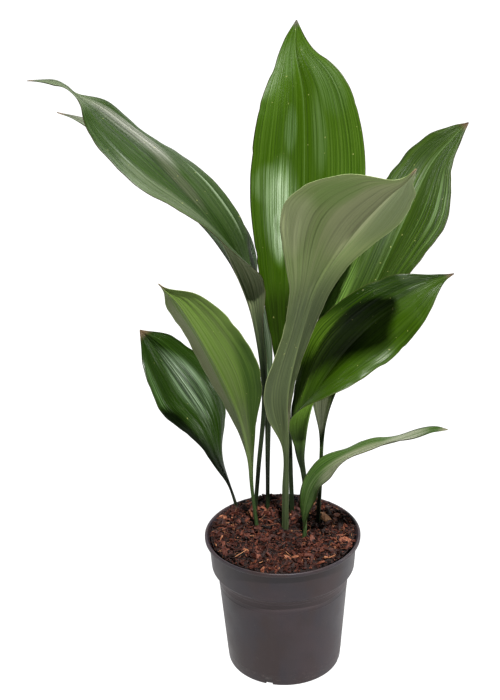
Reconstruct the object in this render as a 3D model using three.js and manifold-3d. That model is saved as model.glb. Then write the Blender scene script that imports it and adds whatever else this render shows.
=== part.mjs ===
// Potted cast iron plant: nine arching leaves in bark potting mix, in a moulded nursery pot.
// Millimetres, +Z up. The origin is the centre of the pot's underside, and the front faces -Y.

import * as THREE from 'three';
import { mergeVertices } from 'three/addons/utils/BufferGeometryUtils.js';
import Module from 'manifold-3d';

const wasm = await Module();
wasm.setup();

// Pot: a 17 cm nursery pot with a rolled lip, a straight collar and a tapering body
const potHeight = 157.7;
const lipRadius = 85;
const lipDepth = 4.4;
const lipRound = 1.4;
const mouthRadius = 80.4;
const collarTopRadius = 80.8;
const collarFootRadius = 78.4;
const collarDepth = 37.7;
const shoulderDrop = 5.6;
const bodyTopRadius = 72.1;
const stepBelowShoulder = 3.4;
const stepDepth = 0.5;
const footRadius = 62.9;
const footRound = 3;
const mouthEase = 0.7;
const wall = 1.5;
const potSides = 56;

// Drainage: slots through the foot's corner and round holes in the floor
const slotCount = 4;
const slotWidth = 8;
const slotHeight = 3.6;
const slotLength = 14;
const firstSlotTurn = -106;
const floorHoleCount = 8;
const floorHoleRadius = 4.5;
const floorHoleCircle = 42;

// Potting mix: its level, its clearance to the pot and its bark chips
const soilLevel = 152;
const fit = 0.5;
const soilRings = 8;
const humpHeight = 1.1;
const humpWidth = 10;
const edgeWidth = 12;
const edgeDrop = 1.2;
const chipCount = 32;
const chipReach = 70;
const chipLength = [8, 15];
const chipWidth = [4, 8];
const chipHeight = [2, 4];
const chipTilt = 0.3;
const chipSeed = 11;

// Leaf section: the blade's thickness, and the stalk's and midrib's depth under it
const blade = 0.6;
const ribTip = 0.5;
const ribDepth = 1.45;
const archRise = 0.06;
const waveReach = 25;
const marginShift = 0.37;
const stationsPerRow = 3;
const columnsPerHalf = 4;

// Stalks: how deep each stands in the mix, how high it runs straight and how wide its hole is
const stalkFoot = 130;
const stalkStraight = 156;
const holeClearance = 0.8;

// Leaves. The foot is the stalk's place in the mix (x, y) and the compass turn of its width, and stalk
// is half its width. Each row is a point of the midrib (x, y, z), the half-widths left and right of it,
// how far the halves fold up, and the turn of the width. The wave along the margins has a height, a
// number of waves along the leaf and a phase.
const leaves = [
  {
    name: 'leaf_tall', color: 0x3f6b1c, roughness: 0.42,
    foot: [11, 35, 0], stalk: 2.5, wave: [1.6, 3.5, 0.1],
    rows: [
      [10, 40, 232, 2.5, 2.5, 30, -20],
      [9, 43, 291, 4, 4, 45, -25],
      [12, 48, 353, 20, 18, 45, -25],
      [24, 58, 451, 48, 47, 30, -15],
      [28, 67, 534, 59, 64, 20, 0],
      [28, 80, 615, 49, 53, 25, 5],
      [22, 95, 660, 22, 23, 25, -5],
      [20, 99, 688, 0.5, 0.5, 35, -20],
    ],
  },
  {
    name: 'leaf_front', color: 0x77835a, roughness: 0.6,
    foot: [3, 9, 200], stalk: 3, wave: [1.4, 3, 0.4],
    rows: [
      [4, 4, 208, 3, 3, 15, 215],
      [5, -4, 265, 4, 4, 20, 220],
      [6, -20, 336, 20, 29, 15, 230],
      [22, -30, 410, 28, 26, 5, 230],
      [39, -43, 464, 48, 40, 5, 225],
      [69, -67, 519, 64, 72, 20, 195],
      [97, -92, 560, 45, 50, 20, 195],
      [115, -104, 580, 13, 14, 10, 215],
      [123, -112, 594, 0.5, 0.5, 0, 225],
    ],
  },
  {
    name: 'leaf_far_left', color: 0x44632f, roughness: 0.4,
    foot: [-30, 40, 40], stalk: 2.5, wave: [1.2, 4, 0.7],
    rows: [
      [-25, 41, 213, 2.5, 2.5, 25, 65],
      [-17, 43, 303, 3.5, 3.5, 40, 80],
      [-25, 46, 384, 10, 11, 50, 90],
      [-41, 49, 437, 37, 31, 40, 95],
      [-65, 47, 491, 35, 36, 25, 70],
      [-118, 59, 557, 47, 51, -10, 60],
      [-167, 78, 596, 38, 42, -10, 65],
      [-205, 94, 621, 6, 5, 10, 55],
      [-229, 105, 632, 3.5, 3.5, 10, 90],
      [-257, 114, 633, 0.5, 0.5, 5, 105],
    ],
  },
  {
    name: 'leaf_behind_left', color: 0x40602c, roughness: 0.42,
    foot: [-16, 44, 40], stalk: 2.5, wave: [1.2, 3, 0.2],
    rows: [
      [-15, 51, 207, 2.5, 2.5, 15, 55],
      [-15, 63, 288, 3, 3, 35, 65],
      [-19, 74, 349, 11, 11, 35, 75],
      [-32, 86, 402, 22, 20, 20, 75],
      [-57, 98, 456, 31, 33, 25, 60],
      [-109, 117, 517, 32, 31, 15, 60],
      [-167, 133, 562, 24, 24, 15, 60],
      [-210, 143, 584, 6, 6, 10, 60],
      [-234, 147, 592, 0.5, 0.5, 0, 60],
    ],
  },
  {
    name: 'leaf_left', color: 0x5f7f3a, roughness: 0.55,
    foot: [-28, 14, 140], stalk: 2.5, wave: [1, 3, 0.9],
    rows: [
      [-32, 10, 205, 2, 2, 10, 140],
      [-34, 5, 243, 4.5, 4.5, 20, 140],
      [-42, -4, 295, 18, 17, 15, 145],
      [-57, -21, 349, 41, 34, 20, 150],
      [-77, -38, 402, 39, 39, 25, 155],
      [-96, -51, 444, 24, 23, 20, 160],
      [-110, -58, 464, 4, 4, 20, 150],
      [-115, -60, 471, 0.5, 0.5, 10, 145],
    ],
  },
  {
    name: 'leaf_low_left', color: 0x2c4f1c, roughness: 0.36,
    foot: [-51, 54, 50], stalk: 2, wave: [1.4, 4, 0.3],
    rows: [
      [-59, 63, 184, 3, 3, -20, 60],
      [-69, 70, 210, 11, 9, -15, 60],
      [-82, 79, 253, 29, 33, -5, 45],
      [-106, 89, 292, 41, 39, 0, 30],
      [-134, 103, 329, 26, 27, 5, 30],
      [-155, 110, 354, 0.5, 0.5, 0, 25],
    ],
  },
  {
    name: 'leaf_right', color: 0x3c6424, roughness: 0.42,
    foot: [39, 19, 310], stalk: 2.5, wave: [1.4, 4, 0.6],
    rows: [
      [42, 27, 207, 2.5, 2.5, 10, 315],
      [45, 36, 257, 3.5, 3.5, 30, 320],
      [55, 46, 304, 12, 12, 40, 325],
      [78, 61, 364, 28, 28, 30, 325],
      [107, 80, 424, 40, 39, 20, 325],
      [138, 106, 483, 42, 50, 10, 330],
      [164, 130, 530, 33, 30, 5, 330],
      [190, 139, 559, 14, 11, 15, 335],
      [205, 143, 573, 0.5, 0.5, 5, 325],
    ],
  },
  {
    name: 'leaf_right_shaded', color: 0x39601d, roughness: 0.4,
    foot: [27, 24, 300], stalk: 2.5, wave: [1.2, 3, 0.8],
    rows: [
      [24, 26, 210, 2.5, 2.5, 55, 270],
      [23, 26, 245, 9, 8, 80, 265],
      [34, 28, 302, 28, 34, 35, 280],
      [64, 27, 353, 43, 38, 15, 325],
      [100, 26, 393, 39, 40, 0, 345],
      [136, 29, 418, 30, 30, 0, 340],
      [165, 34, 435, 9, 8, 0, 330],
      [181, 37, 441, 0.5, 0.5, -5, 325],
    ],
  },
  {
    name: 'leaf_low_right', color: 0x5b7a45, roughness: 0.48,
    foot: [22, -8, 250], stalk: 3, wave: [1.2, 5, 0.5],
    rows: [
      [25, -11, 196, 7, 8, 10, 325],
      [35, -16, 228, 13, 13, 15, 310],
      [56, -25, 254, 17, 17, 10, 280],
      [89, -37, 278, 14, 14, 15, 255],
      [122, -52, 296, 8, 9, 15, 255],
      [148, -69, 314, 6, 5.5, 5, 280],
      [164, -81, 321, 0.5, 0.5, -5, 275],
    ],
  },
];

// Closed solid from any closed geometry: shared vertices merged, empty triangles dropped
function solidOf(geometry) {
  const bare = geometry.clone();
  bare.deleteAttribute('normal');
  bare.deleteAttribute('uv');
  const merged = mergeVertices(bare, 1e-3);
  const corners = merged.index.array;
  const kept = [];
  for (let i = 0; i < corners.length; i += 3) {
    const [a, b, c] = [corners[i], corners[i + 1], corners[i + 2]];
    if (a !== b && b !== c && c !== a) kept.push(a, b, c);
  }
  const vertProperties = new Float32Array(merged.attributes.position.array);
  const triVerts = new Uint32Array(kept);
  return new wasm.Manifold(new wasm.Mesh({ numProp: 3, vertProperties, triVerts }));
}

// Geometry for a mesh, from a solid
function geometryOf(solid) {
  const mesh = solid.getMesh();
  const geometry = new THREE.BufferGeometry();
  geometry.setAttribute('position', new THREE.BufferAttribute(new Float32Array(mesh.vertProperties), 3));
  geometry.setIndex(new THREE.BufferAttribute(new Uint32Array(mesh.triVerts), 1));
  return geometry;
}

// Round solid from an outline of radius and height
function turned(outline, divisions, sides) {
  const geometry = new THREE.LatheGeometry(outline.getPoints(divisions), sides);
  return geometry.rotateX(Math.PI / 2);
}

// Upright round bar, for drilling
function drill(radius, bottom, top, x, y) {
  const bar = new THREE.CylinderGeometry(radius, radius, top - bottom, 16);
  bar.rotateX(Math.PI / 2);
  bar.translate(x, y, (bottom + top) / 2);
  return solidOf(bar);
}

// Levels of the pot's wall, from the lip down, and its inside radius at each of them
const lipBottom = potHeight - lipDepth;
const collarFoot = potHeight - collarDepth;
const shoulderFoot = collarFoot - shoulderDrop;
const stepLevel = shoulderFoot - stepBelowShoulder;
const inside = {
  mouth: mouthRadius - mouthEase,
  lip: collarTopRadius - wall,
  collar: collarFootRadius - wall,
  shoulder: bodyTopRadius - wall,
  floor: footRadius - wall,
};

// Outside radius of the tapering body at a height
function bodyRadius(height) {
  return THREE.MathUtils.mapLinear(height, 0, shoulderFoot, footRadius, bodyTopRadius);
}

// Pot: one outline from the middle of the underside out, up, over the lip and back down inside
function potBody() {
  const outline = new THREE.Path();
  outline.moveTo(0, 0);
  outline.lineTo(footRadius - footRound, 0);
  outline.quadraticCurveTo(footRadius, 0, bodyRadius(footRound), footRound);
  outline.lineTo(bodyRadius(stepLevel) - stepDepth, stepLevel);
  outline.lineTo(bodyRadius(stepLevel + stepDepth), stepLevel + stepDepth);
  outline.lineTo(bodyTopRadius, shoulderFoot);
  outline.lineTo(collarFootRadius, collarFoot);
  outline.lineTo(collarTopRadius, lipBottom);
  outline.lineTo(lipRadius - lipRound, lipBottom);
  outline.quadraticCurveTo(lipRadius, lipBottom, lipRadius, lipBottom + lipRound);
  outline.lineTo(lipRadius, potHeight - lipRound);
  outline.quadraticCurveTo(lipRadius, potHeight, lipRadius - lipRound, potHeight);
  outline.lineTo(mouthRadius, potHeight);
  outline.lineTo(inside.mouth, potHeight - mouthEase);
  outline.lineTo(inside.lip, lipBottom);
  outline.lineTo(inside.collar, collarFoot);
  outline.lineTo(inside.shoulder, shoulderFoot);
  outline.lineTo(inside.floor, wall + footRound);
  outline.lineTo(inside.floor - footRound, wall);
  outline.lineTo(0, wall);
  let pot = solidOf(turned(outline, 2, potSides));
  for (let i = 0; i < slotCount; i += 1) {
    const slot = new THREE.BoxGeometry(slotLength, slotWidth, slotHeight * 2);
    slot.translate(footRadius, 0, 0);
    slot.rotateZ(THREE.MathUtils.degToRad(firstSlotTurn + (360 / slotCount) * i));
    pot = pot.subtract(solidOf(slot));
  }
  for (let i = 0; i < floorHoleCount; i += 1) {
    const turn = (Math.PI * 2 * i) / floorHoleCount;
    const x = floorHoleCircle * Math.cos(turn);
    const y = floorHoleCircle * Math.sin(turn);
    pot = pot.subtract(drill(floorHoleRadius, -1, wall + 1, x, y));
  }
  return pot;
}

// Repeatable random numbers from 0 to 1
function drawer(seed) {
  let state = seed;
  return () => {
    state = (state * 1664525 + 1013904223) % 4294967296;
    return state / 4294967296;
  };
}

// Height of the mix over its level: low humps, and a slight hollow along the wall
function humps(x, y) {
  const broad = Math.sin(x / humpWidth + 1) * Math.cos(y / humpWidth);
  const narrow = 0.6 * Math.sin((2 * (x + y)) / humpWidth);
  const rim = inside.lip;
  const edge = THREE.MathUtils.smoothstep(Math.hypot(x, y), rim - edgeWidth, rim);
  return humpHeight * (broad + narrow) * (1 - edge) - edgeDrop * edge;
}

// Potting mix: fills the pot, with a humped top, bark chips bedded in it and a hole for each stalk
function pottingMix() {
  const topRadius = inside.lip - fit;
  const outline = new THREE.Path();
  outline.moveTo(0, wall + fit);
  outline.lineTo(inside.floor - footRound - fit, wall + fit);
  outline.lineTo(inside.floor - fit, wall + footRound + fit);
  outline.lineTo(inside.shoulder - fit, shoulderFoot);
  outline.lineTo(inside.collar - fit, collarFoot);
  outline.lineTo(topRadius, soilLevel);
  for (let ring = soilRings - 1; ring >= 0; ring -= 1) {
    outline.lineTo((topRadius * ring) / soilRings, soilLevel);
  }
  const body = turned(outline, 1, potSides);
  const place = body.attributes.position;
  for (let i = 0; i < place.count; i += 1) {
    const [x, y, z] = [place.getX(i), place.getY(i), place.getZ(i)];
    if (z > soilLevel - 0.01) place.setZ(i, z + humps(x, y));
  }
  let mix = solidOf(body);
  const random = drawer(chipSeed);
  const between = ([low, high]) => THREE.MathUtils.lerp(low, high, random());
  for (let i = 0; i < chipCount; i += 1) {
    const turn = between([0, Math.PI * 2]);
    const reach = chipReach * Math.sqrt(random());
    const [length, width, height] = [chipLength, chipWidth, chipHeight].map(between);
    const [x, y] = [reach * Math.cos(turn), reach * Math.sin(turn)];
    const chip = new THREE.BoxGeometry(length, width, height);
    chip.rotateX(between([-chipTilt, chipTilt]));
    chip.rotateY(between([-chipTilt, chipTilt]));
    chip.rotateZ(between([0, Math.PI]));
    chip.translate(x, y, soilLevel + humps(x, y) + height * 0.3);
    mix = mix.add(solidOf(chip));
  }
  // Pockets shut in between the chips are filled
  mix = mix.decompose().reduce((most, piece) => (piece.volume() > most.volume() ? piece : most));
  for (const leaf of leaves) {
    const [x, y, degrees] = leaf.foot;
    const turn = THREE.MathUtils.degToRad(degrees);
    const depth = blade + ribDepth * leaf.stalk;
    const reach = Math.hypot(leaf.stalk, depth / 2) + holeClearance;
    const middle = [x - (depth / 2) * Math.sin(turn), y + (depth / 2) * Math.cos(turn)];
    mix = mix.subtract(drill(reach, stalkFoot - fit, soilLevel + 12, ...middle));
  }
  return mix;
}

// Smooth track through some columns of a leaf's rows
function track(rows, columns) {
  const points = rows.map((row) => new THREE.Vector3(...columns.map((column) => row[column])));
  return new THREE.CatmullRomCurve3(points, false, 'catmullrom', 0.5);
}

// Leaf: a channelled stalk that widens into a blade, as one closed shell. The upper face is a grid of
// stations along the midrib and columns across it; the under face lies below it by the blade's
// thickness, and further along the midrib, and both are split into triangles alike.
function leafShell(leaf) {
  const { stalk } = leaf;
  const [x, y, turn] = leaf.foot;
  const [waveHeight, waves, phase] = leaf.wave;
  const straight = [stalkFoot, stalkStraight].map((z) => [x, y, z, stalk, stalk, 0, turn]);
  const rows = [...straight, ...leaf.rows];
  const place = track(rows, [0, 1, 2]);
  const spread = track(rows, [3, 4, 5]);
  const turning = track(rows, [6, 6, 6]);
  const stations = (rows.length - 2) * stationsPerRow + 1;
  const columns = 2 * columnsPerHalf;
  const grid = new THREE.PlaneGeometry(1, 1, columns, stations);
  const upper = [];
  const under = [];
  for (let i = 0; i <= stations; i += 1) {
    // The buried foot is one straight stretch
    const t = i === 0 ? 0 : (1 + (i - 1) / stationsPerRow) / (rows.length - 1);
    const middle = place.getPoint(t);
    const along = place.getTangent(t);
    const size = spread.getPoint(t);
    const fold = THREE.MathUtils.degToRad(size.z);
    const compass = THREE.MathUtils.degToRad(turning.getPoint(t).x);
    const across = new THREE.Vector3(Math.cos(compass), Math.sin(compass), 0);
    across.addScaledVector(along, -across.dot(along)).normalize();
    const up = across.clone().cross(along);
    for (let k = -columnsPerHalf; k <= columnsPerHalf; k += 1) {
      const side = Math.sign(k);
      const width = Math.max(side < 0 ? size.x : size.y, ribTip);
      const rib = Math.min(0.8 * width, THREE.MathUtils.lerp(stalk, ribTip, t));
      const steps = [0, 0.6 * rib, rib, (rib + width) / 2, width];
      const reach = steps[Math.abs(k)];
      const share = reach / width;
      const arch = archRise * width * 4 * share * (1 - share);
      const swell = waveHeight * share * share * Math.min(1, width / waveReach);
      const shift = side > 0 ? phase + marginShift : phase;
      const wave = swell * Math.sin(Math.PI * 2 * (waves * t + shift));
      const outward = across.clone().multiplyScalar(side * Math.cos(fold));
      outward.addScaledVector(up, Math.sin(fold));
      const normal = up.clone().multiplyScalar(Math.cos(fold));
      normal.addScaledVector(across, -side * Math.sin(fold));
      const point = middle.clone().addScaledVector(outward, reach);
      point.addScaledVector(normal, arch + wave);
      const inRib = Math.min(1, reach / rib);
      const below = up.clone().lerp(normal, inRib).normalize();
      const depth = blade + ribDepth * rib * (1 - 0.5 * t) * Math.sqrt(1 - inRib * inRib);
      upper.push(point);
      under.push(point.clone().addScaledVector(below, -depth));
    }
  }
  const count = upper.length;
  const corners = grid.index.array;
  const index = [];
  for (let i = 0; i < corners.length; i += 3) {
    const [a, b, c] = [corners[i], corners[i + 1], corners[i + 2]];
    index.push(a, c, b);
    index.push(a + count, b + count, c + count);
  }
  const rim = [];
  const perRow = columns + 1;
  for (let i = 0; i < stations; i += 1) rim.push(i * perRow);
  for (let k = 0; k < columns; k += 1) rim.push(stations * perRow + k);
  for (let i = stations; i > 0; i -= 1) rim.push(i * perRow + columns);
  for (let k = columns; k > 0; k -= 1) rim.push(k);
  rim.forEach((a, i) => {
    const b = rim[(i + 1) % rim.length];
    index.push(a, b, b + count, a, b + count, a + count);
  });
  const shell = new THREE.BufferGeometry().setFromPoints([...upper, ...under]);
  shell.setIndex(index);
  return shell;
}

// Materials, one for each piece
function finish(color, roughness) {
  return new THREE.MeshStandardMaterial({ color, roughness, metalness: 0 });
}

// The assembled plant
const plant = new THREE.Group();
const pot = new THREE.Mesh(geometryOf(potBody()), finish(0x3b383b, 0.55));
pot.name = 'pot';
plant.add(pot);
const mix = new THREE.Mesh(geometryOf(pottingMix()), finish(0x4b2c20, 0.95));
mix.name = 'potting_mix';
plant.add(mix);
for (const leaf of leaves) {
  const mesh = new THREE.Mesh(leafShell(leaf), finish(leaf.color, leaf.roughness));
  mesh.name = leaf.name;
  plant.add(mesh);
}

export default plant;
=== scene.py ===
import math
import random

import bmesh
import bpy
from mathutils import Euler, Matrix, Vector, noise


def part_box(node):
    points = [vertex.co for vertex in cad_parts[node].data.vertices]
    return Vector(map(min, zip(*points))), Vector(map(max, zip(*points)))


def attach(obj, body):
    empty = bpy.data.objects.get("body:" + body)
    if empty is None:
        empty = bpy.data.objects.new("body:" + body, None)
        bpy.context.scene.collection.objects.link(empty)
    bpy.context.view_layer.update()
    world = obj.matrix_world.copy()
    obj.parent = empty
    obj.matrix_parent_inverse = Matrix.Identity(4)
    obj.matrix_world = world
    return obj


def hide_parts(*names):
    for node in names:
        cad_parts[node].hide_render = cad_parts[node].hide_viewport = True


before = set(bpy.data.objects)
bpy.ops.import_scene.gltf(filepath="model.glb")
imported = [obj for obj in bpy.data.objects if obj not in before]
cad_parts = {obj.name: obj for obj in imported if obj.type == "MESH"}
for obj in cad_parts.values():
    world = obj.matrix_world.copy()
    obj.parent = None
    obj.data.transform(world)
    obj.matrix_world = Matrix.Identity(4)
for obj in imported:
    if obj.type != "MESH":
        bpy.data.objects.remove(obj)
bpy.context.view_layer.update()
mm = 0.001


# Nursery pot: one thin shell of dark grey moulded polypropylene, with a rolled lip, a straight collar
# and a tapering body with fine moulded rings. It stands on its foot and drains through slots and holes.
_, pot_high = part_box("pot")
lip_radius = pot_high.x / mm
pot_height = pot_high.z / mm
lip_depth = 4.4
mouth_radius = 82.6
throat_radius = mouth_radius - 3
collar_top_radius = 80.8
collar_foot_radius = 78.4
collar_depth = 37.7
collar_foot = pot_height - collar_depth
shoulder_depth = 5.6
body_top_radius = 72.1
body_top = collar_foot - shoulder_depth
ledge_foot, ledge_head = 110.4, 111.2
ledge_dip, ledge_stand = 0.5, 0.1
foot_radius = 62.9
foot_inset = 0.2
foot_ring = (14, 0.7, 0.12)
upper_rings = ((98.6, 0.6, 0.22), (104.6, 0.5, 0.16))
pot_wall = 1.5
pot_steps = 168
slot_count = 4
slot_size = (14, 8, 7.2)
first_slot_turn = -106
drain_count = 8
drain_radius = 4.5
drain_circle = 42
drain_depth = 6
warm_grey = (0.027, 0.015, 0.015)
cool_grey = (0.023, 0.0175, 0.023)
worn_grey = (0.041, 0.0275, 0.031)
flow_grey = (0.032, 0.024, 0.025)
foot_dust = (0.11, 0.08, 0.072)
painted_light_under_collar = (0.072, 0.05, 0.053)
water_mark = (0.07, 0.062, 0.058)


def body_radius(height):
    """Outer radius of the tapering body at a height."""
    return foot_radius + (body_top_radius - foot_radius) * height / body_top


def rounded_line(corners, segments=5):
    """Points of a line in radius and height whose corners (radius, height, rounding) are rounded."""
    points = []
    for i, (radius, height, rounding) in enumerate(corners):
        here = Vector((radius, height))
        if not rounding or i in (0, len(corners) - 1):
            points.append(here)
            continue
        back = Vector(corners[i - 1][:2]) - here
        ahead = Vector(corners[i + 1][:2]) - here
        cut = min(rounding, 0.45 * back.length, 0.45 * ahead.length)
        start, end = here + back.normalized() * cut, here + ahead.normalized() * cut
        for k in range(segments + 1):
            s = k / segments
            points.append(start * (1 - s) ** 2 + here * 2 * s * (1 - s) + end * s * s)
    return points


def turn_body(points, steps):
    """A closed round body spun from a line that starts and ends on the upright axis."""
    body = bmesh.new()
    line = [body.verts.new((p.x * mm, 0, p.y * mm)) for p in points]
    edges = [body.edges.new(pair) for pair in zip(line, line[1:])]
    bmesh.ops.spin(body, geom=line + edges, cent=(0, 0, 0), axis=(0, 0, 1), angle=2 * math.pi,
                   steps=steps, use_merge=True)
    bmesh.ops.remove_doubles(body, verts=body.verts[:], dist=1e-6)
    bmesh.ops.recalc_face_normals(body, faces=body.faces[:])
    return body


def piece_of(body, name, finishes, smooth=True):
    """A finished mesh piece in the scene."""
    mesh = bpy.data.meshes.new(name)
    body.to_mesh(mesh)
    body.free()
    for polygon in mesh.polygons:
        polygon.use_smooth = smooth
    for finish in finishes:
        mesh.materials.append(finish)
    piece = bpy.data.objects.new(name, mesh)
    bpy.context.scene.collection.objects.link(piece)
    return piece


def ring(height, width, stand):
    """A fine moulded ring round the body: its foot, crown and head."""
    return [(body_radius(height - width), height - width, 0.3),
            (body_radius(height) + stand, height, 0.4),
            (body_radius(height + width), height + width, 0.3)]


# The wall's line from the middle of the underside, up the outside, over the lip and down the inside to
# the middle of the floor: radius, height and rounding of each corner
pot_line = [(0, 0, 0), (foot_radius - foot_inset, 0, 3.2), *ring(*foot_ring)]
for body_ring in upper_rings:
    pot_line += ring(*body_ring)
pot_line += [(body_radius(ledge_foot) - ledge_dip, ledge_foot, 0.3),
             (body_radius(ledge_head) + ledge_stand, ledge_head, 0.4),
             (body_top_radius, body_top, 0.8), (collar_foot_radius, collar_foot, 1.2),
             (collar_top_radius, pot_height - lip_depth, 0.5),
             (lip_radius, pot_height - lip_depth, 1.5), (lip_radius, pot_height, 2.0),
             (mouth_radius, pot_height, 0.9), (throat_radius, pot_height - lip_depth, 0.5),
             (collar_foot_radius - pot_wall, collar_foot, 0.8),
             (body_top_radius - pot_wall, body_top, 0.8),
             (foot_radius - pot_wall, pot_wall, 4), (0, pot_wall, 0)]


class Finish:
    """A material under construction: adds nodes, and joins a socket to a number or an output."""

    def __init__(self, name):
        self.material = bpy.data.materials.new(name)
        self.material.use_nodes = True
        self.tree = self.material.node_tree
        self.skin = self.tree.nodes["Principled BSDF"]

    def set(self, node, socket, value):
        if isinstance(value, bpy.types.NodeSocket):
            self.tree.links.new(value, node.inputs[socket])
        elif isinstance(value, tuple) and len(value) == 3 and node.inputs[socket].type == "RGBA":
            node.inputs[socket].default_value = (*value, 1)
        else:
            node.inputs[socket].default_value = value

    def add(self, kind, settings=None, **sockets):
        node = self.tree.nodes.new(kind)
        for key, value in (settings or {}).items():
            setattr(node, key, value)
        for socket, value in sockets.items():
            self.set(node, socket.replace("_", " "), value)
        return node

    def math(self, operation, *values):
        node = self.add("ShaderNodeMath", {"operation": operation})
        for i, value in enumerate(values):
            self.set(node, i, value)
        return node.outputs[0]

    def plus(self, first, second):
        return self.math("ADD", first, second)

    def times(self, first, second):
        return self.math("MULTIPLY", first, second)

    def blend(self, share, first, second):
        """The first colour with a share of the second laid over it."""
        node = self.add("ShaderNodeMix", {"data_type": "RGBA"})
        self.set(node, 0, share)
        self.set(node, 6, first)
        self.set(node, 7, second)
        return node.outputs[2]

    def span(self, value, low, high, to_low=0.0, to_high=1.0):
        """A smooth step of a value from low..high to to_low..to_high."""
        node = self.add("ShaderNodeMapRange", {"interpolation_type": "SMOOTHSTEP"})
        for i, number in enumerate((value, low, high, to_low, to_high)):
            self.set(node, i, number)
        return node.outputs[0]

    def speckle(self, vector, scale, detail=2.0, roughness=0.5):
        """Soft random blots from 0 to 1, of a size of one over scale."""
        node = self.add("ShaderNodeTexNoise", None, Scale=scale, Detail=detail, Roughness=roughness)
        self.set(node, "Vector", vector)
        return node.outputs[0]

    def place(self):
        """The place on the piece, in metres."""
        return self.add("ShaderNodeTexCoord").outputs["Object"]

    def stretch(self, vector, sizes):
        """A place with each of its directions multiplied: a low number draws a pattern out that way."""
        node = self.add("ShaderNodeVectorMath", {"operation": "MULTIPLY"})
        self.set(node, 0, vector)
        node.inputs[1].default_value = sizes
        return node.outputs[0]

    def relief(self, height, depth):
        """Fine relief over the whole skin, its depth in metres."""
        node = self.add("ShaderNodeBump", None, Distance=depth, Height=height)
        self.set(self.skin, "Normal", node.outputs[0])


def moulded_plastic():
    """Dark grey plastic, in warmer and cooler patches, worn paler in clouds and in upright flow lines, with
    dust round the foot, a paler band of painted light under the collar against its shadow, and a few dried
    water marks."""
    finish = Finish("dark_moulded_plastic")
    place = finish.place()
    flow = finish.speckle(finish.stretch(place, (1, 1, 0.12)), 60, 3)
    cloud = finish.speckle(place, 18, 3, 0.6)
    grain = finish.speckle(place, 900, 2)
    hue = finish.span(finish.speckle(finish.stretch(place, (1, 1, 0.5)), 26, 2, 0.6), 0.38, 0.62)
    colour = finish.blend(hue, warm_grey, cool_grey)
    colour = finish.blend(finish.span(cloud, 0.42, 0.68, 0, 0.75), colour, worn_grey)
    colour = finish.blend(finish.span(flow, 0.45, 0.8, 0, 0.5), colour, flow_grey)
    height = finish.add("ShaderNodeSeparateXYZ", None, Vector=place).outputs["Z"]
    low_down = finish.span(height, 0.004, 0.03, 1, 0)
    scuffs = finish.span(finish.speckle(finish.stretch(place, (1, 1, 3)), 160, 4, 0.7), 0.56, 0.72)
    dust = finish.times(low_down, scuffs)
    colour = finish.blend(finish.times(dust, 0.8), colour, foot_dust)
    # Painted light: a paler band just under the collar, where the collar's shadow falls on the body.
    painted_light_band = finish.times(finish.span(height, 0.1, 0.107), finish.span(height, 0.114, 0.118, 1, 0))
    colour = finish.blend(finish.times(painted_light_band, 0.65), colour, painted_light_under_collar)
    marks = finish.span(finish.speckle(place, 300, 2), 0.68, 0.78, 0, 0.25)
    colour = finish.blend(marks, colour, water_mark)
    finish.set(finish.skin, "Base Color", colour)
    finish.set(finish.skin, "Roughness", finish.span(cloud, 0.3, 0.75, 0.42, 0.56))
    finish.skin.inputs["IOR"].default_value = 1.49
    finish.relief(finish.plus(grain, finish.times(flow, 2.0)), 0.00006)
    return finish.material


def cut_from(piece, cutters):
    """Cuts the cutters out of a piece for good."""
    for cutter in cutters:
        cut = piece.modifiers.new("cut", "BOOLEAN")
        cut.operation = "DIFFERENCE"
        cut.solver = "EXACT"
        cut.object = cutter
    dressed = piece.evaluated_get(bpy.context.evaluated_depsgraph_get())
    shaped = bpy.data.meshes.new_from_object(dressed)
    piece.modifiers.clear()
    piece.data = shaped
    for cutter in cutters:
        bpy.data.objects.remove(cutter)


pot_plastic = moulded_plastic()
pot = piece_of(turn_body(rounded_line(pot_line), pot_steps), "nursery_pot", [pot_plastic])
drains = bmesh.new()
for i in range(slot_count):
    turn = Matrix.Rotation(math.radians(first_slot_turn + 360 / slot_count * i), 4, "Z")
    size = Matrix.Diagonal((*[s * mm for s in slot_size], 1))
    bmesh.ops.create_cube(drains, size=1, matrix=turn @ Matrix.Translation((foot_radius * mm, 0, 0)) @ size)
for i in range(drain_count):
    turn = math.radians(360 / drain_count * i)
    middle = Vector((drain_circle * math.cos(turn), drain_circle * math.sin(turn), 0)) * mm
    bmesh.ops.create_cone(drains, cap_ends=True, segments=32, radius1=drain_radius * mm,
                          radius2=drain_radius * mm, depth=drain_depth * mm,
                          matrix=Matrix.Translation(middle))
drain_cutter = piece_of(drains, "drains", [])
bpy.context.view_layer.update()
cut_from(pot, [drain_cutter])
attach(pot, "root")
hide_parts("pot")


# Potting mix: moist peat and coir pressed into the pot, lumpy on top and heaped towards the back. It
# is one body that fills the pot, and every leaf stalk stands in it.
_, mix_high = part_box("potting_mix")
mix_press = 0.6
mix_radius = mix_high.x / mm + mix_press
mix_gap = 0.5
mix_level = 156.0
mix_rings = 84
mix_steps = 216
heap_start, heap_length, heap_half_width, heap_rise = -5, 60, 75, 3.6
wall_dip_start, wall_dip_width, wall_dip = 70, 9, 0.5
# Spread, rise and seed of the lumps, clods, grains and grit
lumps = (13, 1.5, 3.1)
clods = (5.2, 1.3, 8.4)
grains = (1.9, 0.9, 5)
grit = (0.9, 0.5, 2)
bark_shades = ((0.0, (0.002, 0.001, 0.0008)), (0.35, (0.012, 0.0038, 0.0024)),
               (0.6, (0.056, 0.0145, 0.0085)), (0.84, (0.15, 0.05, 0.027)), (1.0, (0.36, 0.18, 0.09)))
bark_grain_share = 0.55


def bumps(x, y, spread, rise, seed):
    """Height at a place of round bumps of one spread and rise."""
    return rise * noise.noise(Vector((x / spread, y / spread, seed)))


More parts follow.
